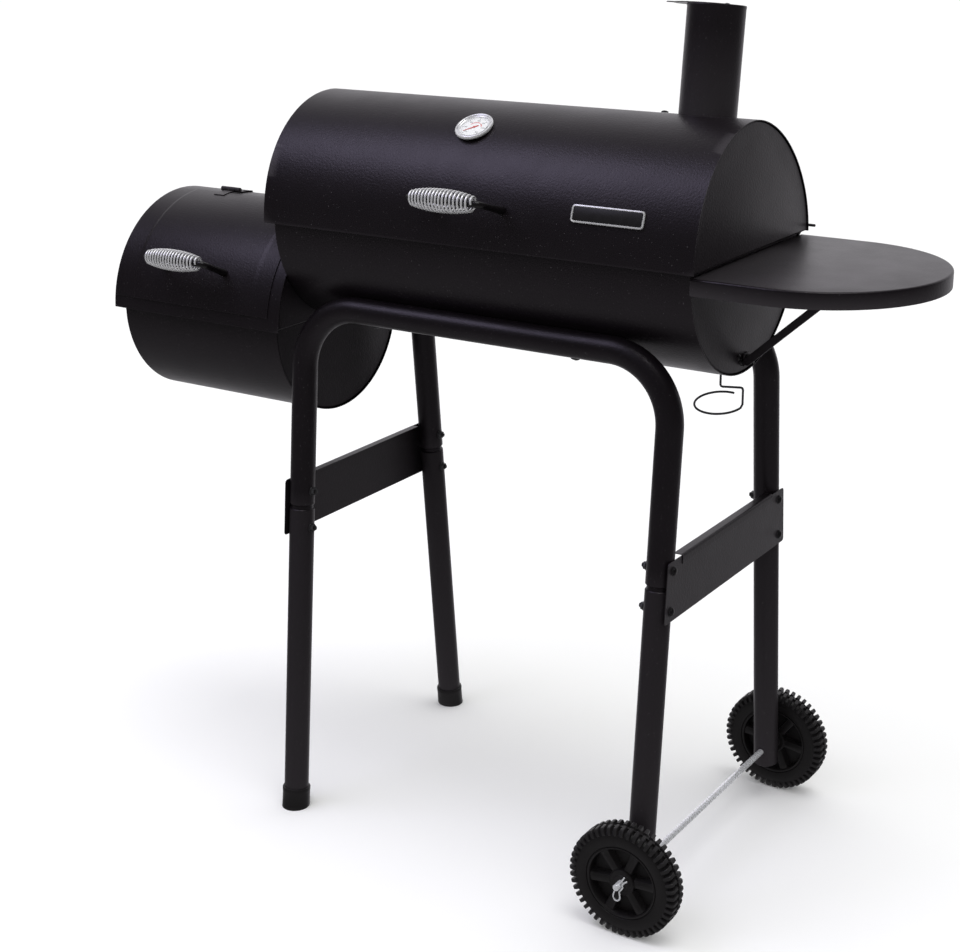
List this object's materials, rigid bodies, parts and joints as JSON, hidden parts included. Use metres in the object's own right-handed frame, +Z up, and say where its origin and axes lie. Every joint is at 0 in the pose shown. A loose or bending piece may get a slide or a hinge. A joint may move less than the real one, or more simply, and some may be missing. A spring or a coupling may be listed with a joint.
{
  "type": "barrel charcoal grill",
  "caption": "Horizontal barrel charcoal grill with an offset firebox, hinged lid, chimney with damper and side shelf, on a wheeled stand of bent tubes.",
  "frame": {"origin": "centre of the bounding box at floor level", "axes": "+X towards the side shelf and the wheels, +Y towards the back where the lid is hinged, +Z up"},
  "size_m": [1.2935, 0.56, 1.2466],
  "materials": {
    "black_paint": "satin high-temperature paint",
    "chrome": "polished",
    "zinc": "bright zinc plated",
    "black_bolt": "black oxide",
    "black_plastic": "matte moulded",
    "grate_enamel": "porcelain coated",
    "needle_red": "matte paint",
    "glass": "clear"
  },
  "bodies": {
    "cart": {"barrel_trough": "black_paint", "barrel_end_left": "black_paint", "barrel_end_right": "black_paint", "firebox_lower_shell": "black_paint", "firebox_lower_end_left": "black_paint", "firebox_lower_end_right": "black_paint", "firebox_upper_shell": "black_paint", "cooking_grate_left": "grate_enamel", "cooking_grate_right": "grate_enamel", "charcoal_grate": "grate_enamel", "firebox_grate": "grate_enamel", "grease_cup_hook": "zinc", "side_shelf": "black_paint", "shelf_strut": "black_paint", "lid_hinge_left_fixed": "black_paint", "lid_hinge_right_fixed": "black_paint", "door_hinge_left_fixed": "black_paint", "door_hinge_right_fixed": "black_paint", "stand_front_tube": "black_paint", "stand_back_tube": "black_paint", "brace_left": "black_paint", "brace_right": "black_paint", "leg_front_left": "black_paint", "leg_back_left": "black_paint", "leg_front_right": "black_paint", "leg_back_right": "black_paint", "bolt_front_left_low": "black_bolt", "bolt_front_left_high": "black_bolt", "bolt_front_right_low": "black_bolt", "bolt_front_right_high": "black_bolt", "bolt_back_left_low": "black_bolt", "bolt_back_left_high": "black_bolt", "bolt_back_right_low": "black_bolt", "bolt_back_right_high": "black_bolt", "foot_cap_front": "black_plastic", "foot_cap_back": "black_plastic", "wheel_clip_front": "zinc", "wheel_clip_back": "zinc", "axle": "zinc"},
    "lid": {"lid_shell": "black_paint", "lid_end_left": "black_paint", "lid_end_right": "black_paint", "lid_grip_rod": "black_paint", "lid_grip_coil": "chrome", "thermometer_case": "chrome", "thermometer_glass": "glass", "badge_plate": "chrome", "lid_hinge_left_moving": "black_paint", "lid_hinge_right_moving": "black_paint", "chimney_pipe": "black_paint"},
    "chimney_damper": {"chimney_damper": "black_paint"},
    "thermometer_needle": {"thermometer_needle": "needle_red"},
    "firebox_door": {"firebox_door": "black_paint", "door_grip_rod": "black_paint", "door_grip_coil": "chrome", "door_hinge_left_moving": "black_paint", "door_hinge_right_moving": "black_paint"},
    "air_shutter": {"air_shutter": "black_paint"},
    "wheel_front": {"wheel_front": "black_plastic"},
    "wheel_back": {"wheel_back": "black_plastic"}
  },
  "joints": [
    {"name": "lid_hinge", "type": "hinge", "parent": "cart", "child": "lid", "pos_m": [0.03075, 0.1865, 0.93], "axis": [-1, 0, 0], "range_deg": [0, 95]},
    {"name": "door_hinge", "type": "hinge", "parent": "cart", "child": "firebox_door", "pos_m": [-0.48325, 0, 0.927], "axis": [-1, 0, 0], "range_deg": [0, 130]},
    {"name": "damper_swivel", "type": "hinge", "parent": "lid", "child": "chimney_damper", "pos_m": [0.29375, 0.07074, 1.23767], "axis": [0, 0.1236, 0.9923], "range_deg": [-60, 57.6]},
    {"name": "needle_turn", "type": "hinge", "parent": "lid", "child": "thermometer_needle", "pos_m": [0.00115, -0.10446, 1.07342], "axis": [0, -0.5055, 0.8628], "range_deg": [-260, 10]},
    {"name": "air_shutter_turn", "type": "hinge", "parent": "cart", "child": "air_shutter", "pos_m": [-0.63675, 0, 0.695], "axis": [-1, 0, 0], "range_deg": [-22, 23]},
    {"name": "wheel_front_spin", "type": "hinge", "parent": "cart", "child": "wheel_front", "pos_m": [0.33775, -0.25, 0.0826], "axis": [0, 1, 0], "continuous": true},
    {"name": "wheel_back_spin", "type": "hinge", "parent": "cart", "child": "wheel_back", "pos_m": [0.33775, 0.25, 0.0826], "axis": [0, 1, 0], "continuous": true}
  ]
}
